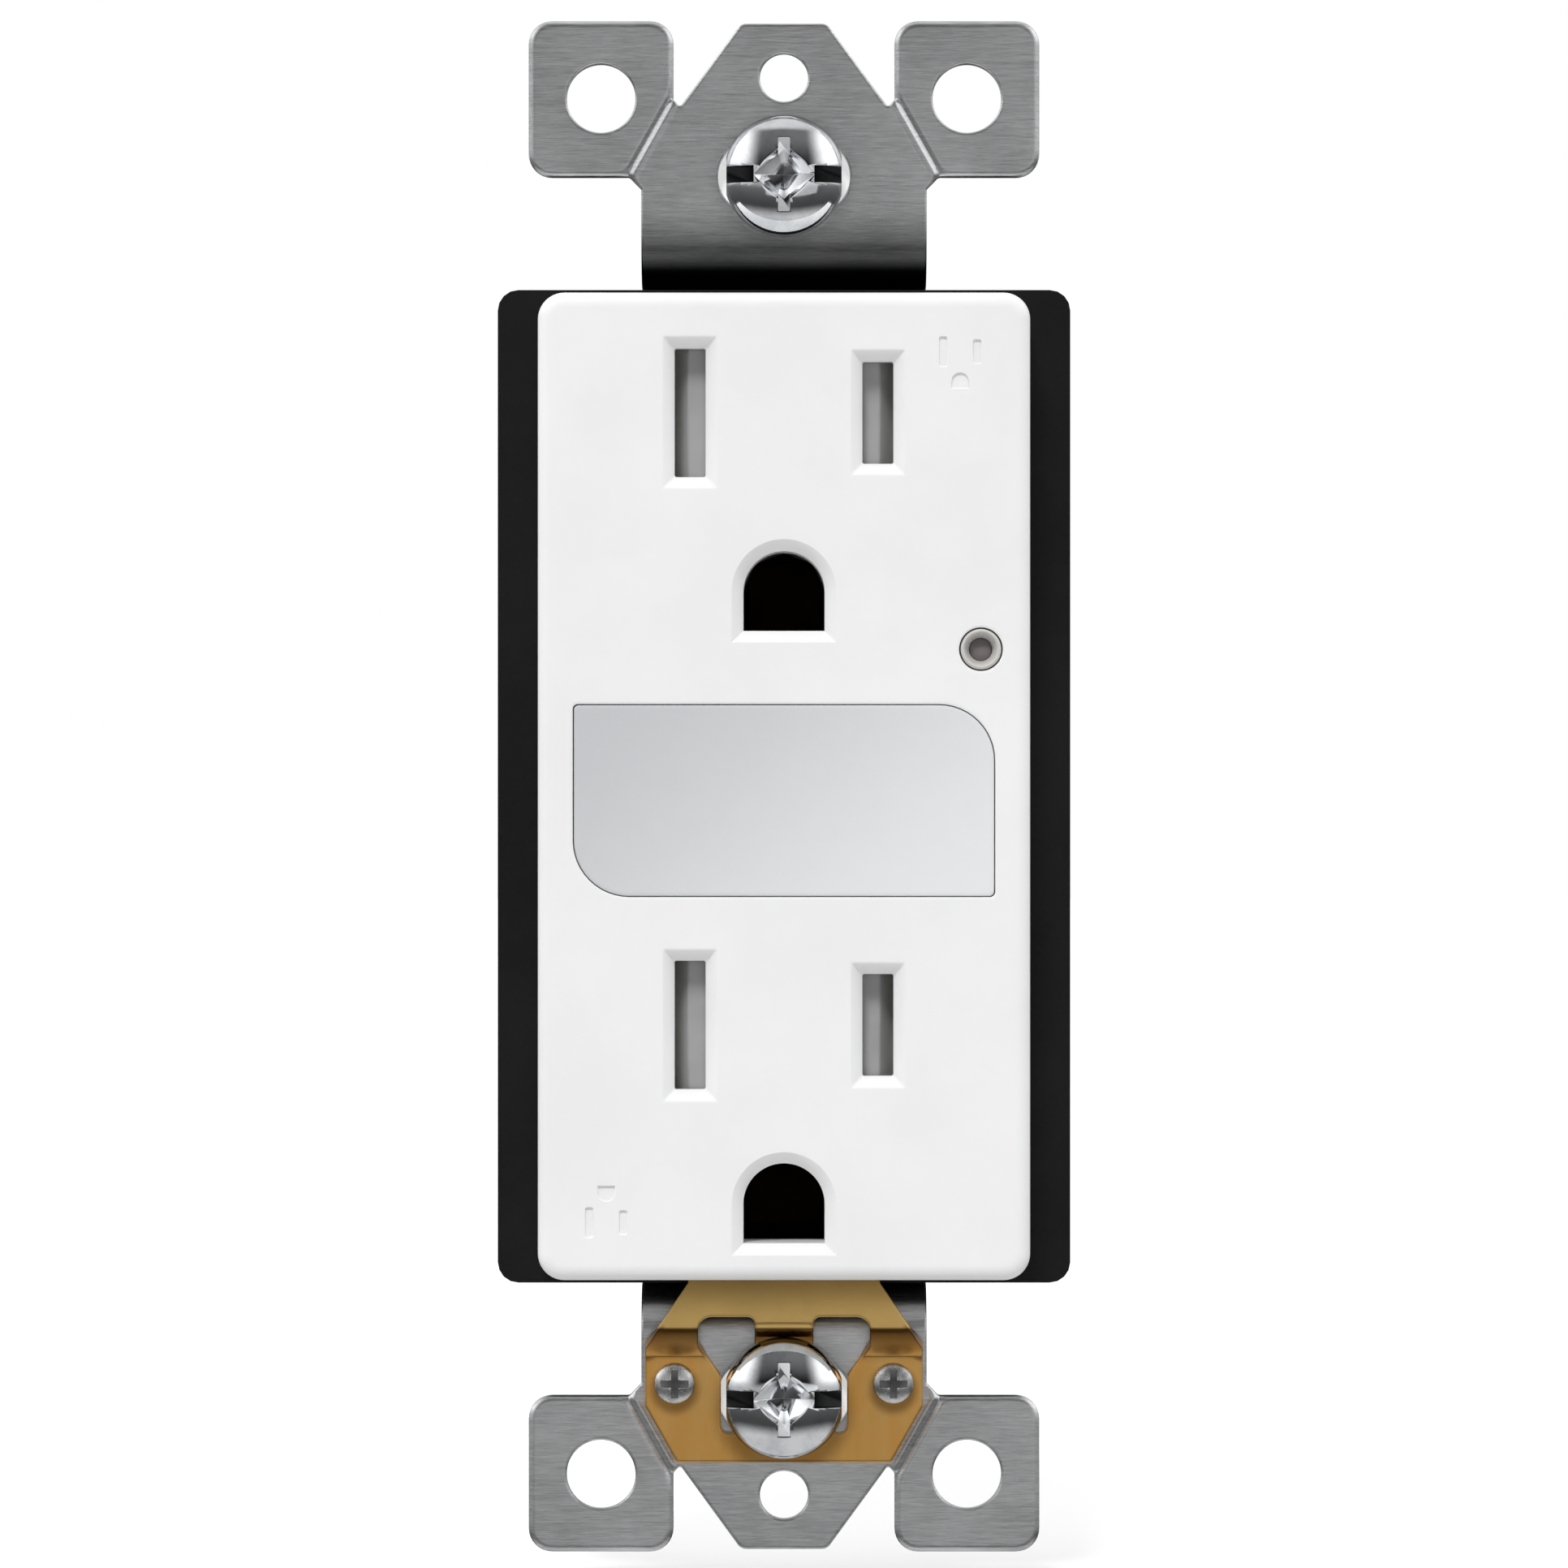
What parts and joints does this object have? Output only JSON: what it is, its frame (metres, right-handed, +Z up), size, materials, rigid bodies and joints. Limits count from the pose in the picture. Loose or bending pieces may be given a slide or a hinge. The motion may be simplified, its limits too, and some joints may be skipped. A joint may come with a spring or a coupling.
{
  "type": "gfci outlet",
  "caption": "Decorator duplex receptacle with shuttered slots, an LED guide-light window and light sensor, side clamp terminals, and a steel mounting strap with a grounding bracket.",
  "frame": {"origin": "middle of the device, on the plane of the backs of the strap's ears, which meets the wall box", "axes": "+Z up along the strap, +Y into the wall, -Y out of the face towards the room, +X to the right seen from the room"},
  "size_m": [0.039, 0.0288, 0.1046],
  "materials": {
    "cover_white": "smooth satin moulding",
    "lens_frosted": "frosted diffuser",
    "reflector_white": "matt white",
    "board_green": "solder mask over glass laminate",
    "bezel_grey": "smooth",
    "sensor_dark": "smoked",
    "film_red": "dipped lacquer",
    "component_black": "moulded",
    "resistor_tan": "lacquered",
    "led_yellow": "phosphor over white package",
    "lead_black": "PVC insulation",
    "lead_white": "PVC insulation",
    "shutter_grey": "fine matt",
    "tray_nylon": "natural nylon",
    "spring_steel": "drawn wire",
    "washer_nylon": "natural nylon",
    "housing_black": "fine spark texture",
    "retainer_black": "fine spark texture",
    "contact_brass": "stamped strip",
    "bracket_brass": "stamped strip, rolled finish",
    "strap_steel": "zinc plated, brushed across",
    "rivet_steel": "zinc plated",
    "screw_chrome": "bright plated",
    "screw_zinc": "bright zinc",
    "clamp_zinc": "bright zinc",
    "screw_brass": "bright",
    "screw_green": "green dye over zinc"
  },
  "bodies": {
    "device": {"face_cover": "cover_white", "light_lens": "lens_frosted", "light_box": "reflector_white", "led_board": "board_green", "sensor_bezel": "bezel_grey", "photocell": "sensor_dark", "dropper_capacitor": "film_red", "bridge_rectifier": "component_black", "smoothing_capacitor": "component_black", "dropper_resistor": "resistor_tan", "led_1": "led_yellow", "led_2": "led_yellow", "led_3": "led_yellow", "lead_hot": "lead_black", "lead_neutral": "lead_white", "upper_shutter_tray": "tray_nylon", "lower_shutter_tray": "tray_nylon", "upper_shutter_spring": "spring_steel", "lower_shutter_spring": "spring_steel", "rear_housing": "housing_black", "contact_retainer": "retainer_black", "hot_contact": "contact_brass", "neutral_contact": "contact_brass", "ground_strip": "bracket_brass", "mounting_strap": "strap_steel", "bracket_rivet_left": "rivet_steel", "bracket_rivet_right": "rivet_steel", "back_rivet_upper": "rivet_steel", "back_rivet_lower": "rivet_steel", "assembly_screw_right_upper": "screw_zinc", "assembly_screw_right_lower": "screw_zinc", "assembly_screw_left_upper": "screw_zinc", "assembly_screw_left_lower": "screw_zinc"},
    "upper_hot_shutter": {"upper_hot_shutter": "shutter_grey"},
    "upper_neutral_shutter": {"upper_neutral_shutter": "shutter_grey"},
    "lower_hot_shutter": {"lower_hot_shutter": "shutter_grey"},
    "lower_neutral_shutter": {"lower_neutral_shutter": "shutter_grey"},
    "upper_retainer_washer": {"upper_retainer_washer": "washer_nylon"},
    "upper_mounting_screw": {"upper_mounting_screw": "screw_chrome"},
    "lower_retainer_washer": {"lower_retainer_washer": "washer_nylon"},
    "lower_mounting_screw": {"lower_mounting_screw": "screw_chrome"},
    "upper_hot_clamp": {"upper_hot_clamp": "clamp_zinc"},
    "upper_hot_screw": {"upper_hot_screw": "screw_brass"},
    "upper_neutral_clamp": {"upper_neutral_clamp": "clamp_zinc"},
    "upper_neutral_screw": {"upper_neutral_screw": "screw_zinc"},
    "lower_hot_clamp": {"lower_hot_clamp": "clamp_zinc"},
    "lower_hot_screw": {"lower_hot_screw": "screw_brass"},
    "lower_neutral_clamp": {"lower_neutral_clamp": "clamp_zinc"},
    "lower_neutral_screw": {"lower_neutral_screw": "screw_zinc"},
    "ground_clamp": {"ground_clamp": "clamp_zinc"},
    "ground_screw": {"ground_screw": "screw_green"}
  },
  "joints": [
    {"name": "upper_hot_shutter_slide", "type": "slide", "parent": "device", "child": "upper_hot_shutter", "axis": [-1, 0, 0], "range_m": [0, 0.0026], "stiffness_N_per_m": 100, "springref_m": -0.003, "deforming": ["upper_shutter_spring"]},
    {"name": "upper_neutral_shutter_slide", "type": "slide", "parent": "device", "child": "upper_neutral_shutter", "axis": [1, 0, 0], "range_m": [0, 0.0026], "stiffness_N_per_m": 100, "springref_m": -0.003},
    {"name": "lower_hot_shutter_slide", "type": "slide", "parent": "device", "child": "lower_hot_shutter", "axis": [-1, 0, 0], "range_m": [0, 0.0026], "stiffness_N_per_m": 100, "springref_m": -0.003, "deforming": ["lower_shutter_spring"]},
    {"name": "lower_neutral_shutter_slide", "type": "slide", "parent": "device", "child": "lower_neutral_shutter", "axis": [1, 0, 0], "range_m": [0, 0.0026], "stiffness_N_per_m": 100, "springref_m": -0.003},
    {"name": "upper_mounting_slide", "type": "slide", "parent": "device", "child": "upper_retainer_washer", "axis": [1, 0, 0], "range_m": [-0.0017, 0.0017]},
    {"name": "upper_mounting_screw_turn", "type": "hinge", "parent": "upper_retainer_washer", "child": "upper_mounting_screw", "pos_m": [0, 0, 0.04167], "axis": [0, 1, 0], "continuous": true},
    {"name": "lower_mounting_slide", "type": "slide", "parent": "device", "child": "lower_retainer_washer", "axis": [1, 0, 0], "range_m": [-0.0017, 0.0017]},
    {"name": "lower_mounting_screw_turn", "type": "hinge", "parent": "lower_retainer_washer", "child": "lower_mounting_screw", "pos_m": [0, 0, -0.04167], "axis": [0, 1, 0], "continuous": true},
    {"name": "upper_hot_clamp_slide", "type": "slide", "parent": "device", "child": "upper_hot_clamp", "axis": [1, 0, 0], "range_m": [0, 0.00198]},
    {"name": "upper_hot_screw_turn", "type": "hinge", "parent": "upper_hot_clamp", "child": "upper_hot_screw", "pos_m": [0.0184, 0.0096, 0.013], "axis": [1, 0, 0], "range_deg": [0, 901]},
    {"name": "upper_neutral_clamp_slide", "type": "slide", "parent": "device", "child": "upper_neutral_clamp", "axis": [-1, 0, 0], "range_m": [0, 0.00198]},
    {"name": "upper_neutral_screw_turn", "type": "hinge", "parent": "upper_neutral_clamp", "child": "upper_neutral_screw", "pos_m": [-0.0184, 0.0096, 0.013], "axis": [-1, 0, 0], "range_deg": [0, 901]},
    {"name": "lower_hot_clamp_slide", "type": "slide", "parent": "device", "child": "lower_hot_clamp", "axis": [1, 0, 0], "range_m": [0, 0.00198]},
    {"name": "lower_hot_screw_turn", "type": "hinge", "parent": "lower_hot_clamp", "child": "lower_hot_screw", "pos_m": [0.0184, 0.0096, -0.013], "axis": [1, 0, 0], "range_deg": [0, 901]},
    {"name": "lower_neutral_clamp_slide", "type": "slide", "parent": "device", "child": "lower_neutral_clamp", "axis": [-1, 0, 0], "range_m": [0, 0.00198]},
    {"name": "lower_neutral_screw_turn", "type": "hinge", "parent": "lower_neutral_clamp", "child": "lower_neutral_screw", "pos_m": [-0.0184, 0.0096, -0.013], "axis": [-1, 0, 0], "range_deg": [0, 901]},
    {"name": "ground_clamp_slide", "type": "slide", "parent": "device", "child": "ground_clamp", "axis": [-1, 0, 0], "range_m": [0, 0.00198]},
    {"name": "ground_screw_turn", "type": "hinge", "parent": "ground_clamp", "child": "ground_screw", "pos_m": [-0.0184, 0.0096, -0.0234], "axis": [-1, 0, 0], "range_deg": [0, 901]}
  ],
  "couplings": [
    {"joint": "upper_neutral_shutter_slide", "follows": "upper_hot_shutter_slide", "ratio": 1},
    {"joint": "lower_neutral_shutter_slide", "follows": "lower_hot_shutter_slide", "ratio": 1},
    {"joint": "upper_hot_screw_turn", "follows": "upper_hot_clamp_slide", "rad_per_m": 7913.3},
    {"joint": "upper_neutral_screw_turn", "follows": "upper_neutral_clamp_slide", "rad_per_m": 7913.3},
    {"joint": "lower_hot_screw_turn", "follows": "lower_hot_clamp_slide", "rad_per_m": 7913.3},
    {"joint": "lower_neutral_screw_turn", "follows": "lower_neutral_clamp_slide", "rad_per_m": 7913.3},
    {"joint": "ground_screw_turn", "follows": "ground_clamp_slide", "rad_per_m": 7913.3}
  ]
}
